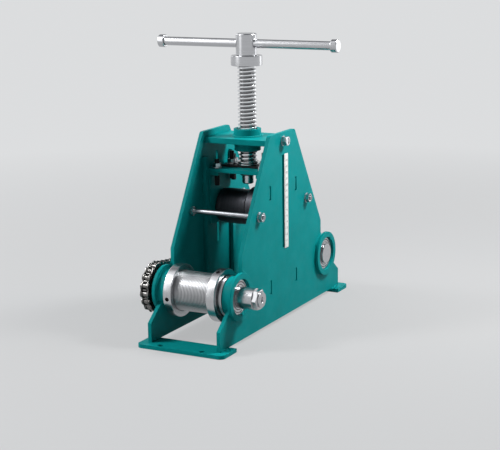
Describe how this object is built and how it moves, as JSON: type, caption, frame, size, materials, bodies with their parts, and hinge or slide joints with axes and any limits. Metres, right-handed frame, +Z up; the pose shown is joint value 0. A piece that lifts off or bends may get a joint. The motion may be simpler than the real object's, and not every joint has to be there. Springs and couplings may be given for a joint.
{
  "type": "ring roller",
  "caption": "Manual ring roller: steel side plates carry two chain-linked drive rollers, and a T-handled screw lowers a guided press roller to bend bar and tube into arcs and rings.",
  "frame": {"origin": "on the floor, under the pressure screw, midway between the side plates and between the shafts", "axes": "+Z up along the pressure screw; +X along the machine from the drive shaft to the rear shaft; +Y along the shafts from the drive coupling to the chain side"},
  "size_m": [0.462, 0.316, 0.4595],
  "materials": {
    "paint": "satin teal powder coat over welded steel plate",
    "bright_steel": "bright ground and turned steel",
    "turned_steel": "lathe-turned steel with fine rings",
    "zinc": "zinc-plated fasteners",
    "dark_steel": "oiled dark steel of the chain, sprockets and rings",
    "black_steel": "blackened steel, satin",
    "scale_white": "white printed metal strip with black marks"
  },
  "bodies": {
    "frame": {"side_plate_near": "paint", "side_plate_far": "paint", "foot_front": "paint", "foot_rear": "paint", "housing_front_near": "paint", "housing_front_far": "paint", "housing_rear_near": "paint", "housing_rear_far": "paint", "bearing_front_near": "bright_steel", "bearing_front_far": "bright_steel", "bearing_rear_near": "bright_steel", "bearing_rear_far": "bright_steel", "guide_bar_front_near": "paint", "guide_bar_front_far": "paint", "guide_bar_rear_near": "paint", "guide_bar_rear_far": "paint", "tie_rod_front": "bright_steel", "tie_rod_rear": "bright_steel", "tie_nut_front_near": "zinc", "tie_nut_front_far": "zinc", "tie_nut_rear_near": "zinc", "tie_nut_rear_far": "zinc", "bridge_bolt_near": "zinc", "bridge_bolt_far": "zinc", "bridge_plate": "paint", "screw_nut": "paint", "scale_strip": "scale_white", "drive_chain": "dark_steel"},
    "carriage": {"carriage_plate": "paint", "retainer_plate": "black_steel", "roller_axle": "bright_steel", "cheek_near": "paint", "cheek_far": "paint", "stud_near": "black_steel", "stud_far": "black_steel", "clamp_bolt_front_near": "zinc", "clamp_bolt_front_far": "zinc", "clamp_bolt_rear_near": "zinc", "clamp_bolt_rear_far": "zinc"},
    "screw": {"pressure_screw": "bright_steel", "retaining_clip": "dark_steel", "thrust_bearing": "dark_steel", "stop_collar": "turned_steel", "bar_hub": "turned_steel"},
    "handle_bar": {"t_bar": "bright_steel", "bar_cap_near": "bright_steel", "bar_cap_far": "bright_steel"},
    "press_roller": {"press_roller": "black_steel", "roller_flange_near": "black_steel", "roller_flange_far": "black_steel"},
    "front_shaft": {"shaft_front": "bright_steel", "drum_front": "bright_steel", "collar_front_near": "turned_steel", "collar_front_far": "turned_steel", "sprocket_front": "dark_steel"},
    "rear_shaft": {"shaft_rear": "bright_steel", "drum_rear": "bright_steel", "collar_rear_near": "turned_steel", "collar_rear_far": "turned_steel", "sprocket_rear": "dark_steel"}
  },
  "joints": [
    {"name": "carriage_slide", "type": "slide", "parent": "frame", "child": "carriage", "axis": [0, 0, 1], "range_m": [-0.096, 0.012]},
    {"name": "screw_turn", "type": "hinge", "parent": "carriage", "child": "screw", "pos_m": [0, 0, 0.443], "axis": [0, 0, 1], "range_deg": [-5760, 720]},
    {"name": "bar_slide", "type": "slide", "parent": "screw", "child": "handle_bar", "axis": [0, 1, 0], "range_m": [-0.13, 0.13]},
    {"name": "press_roller_spin", "type": "hinge", "parent": "carriage", "child": "press_roller", "pos_m": [0, 0, 0.181], "axis": [0, 1, 0], "continuous": true},
    {"name": "front_shaft_spin", "type": "hinge", "parent": "frame", "child": "front_shaft", "pos_m": [-0.15557, 0, 0.0764], "axis": [0, 1, 0], "continuous": true, "deforming": ["drive_chain"]},
    {"name": "rear_shaft_spin", "type": "hinge", "parent": "frame", "child": "rear_shaft", "pos_m": [0.15557, 0, 0.0764], "axis": [0, 1, 0], "continuous": true}
  ],
  "couplings": [
    {"joint": "carriage_slide", "follows": "screw_turn", "m_per_rad": 0.00095493},
    {"joint": "rear_shaft_spin", "follows": "front_shaft_spin", "ratio": 1}
  ]
}
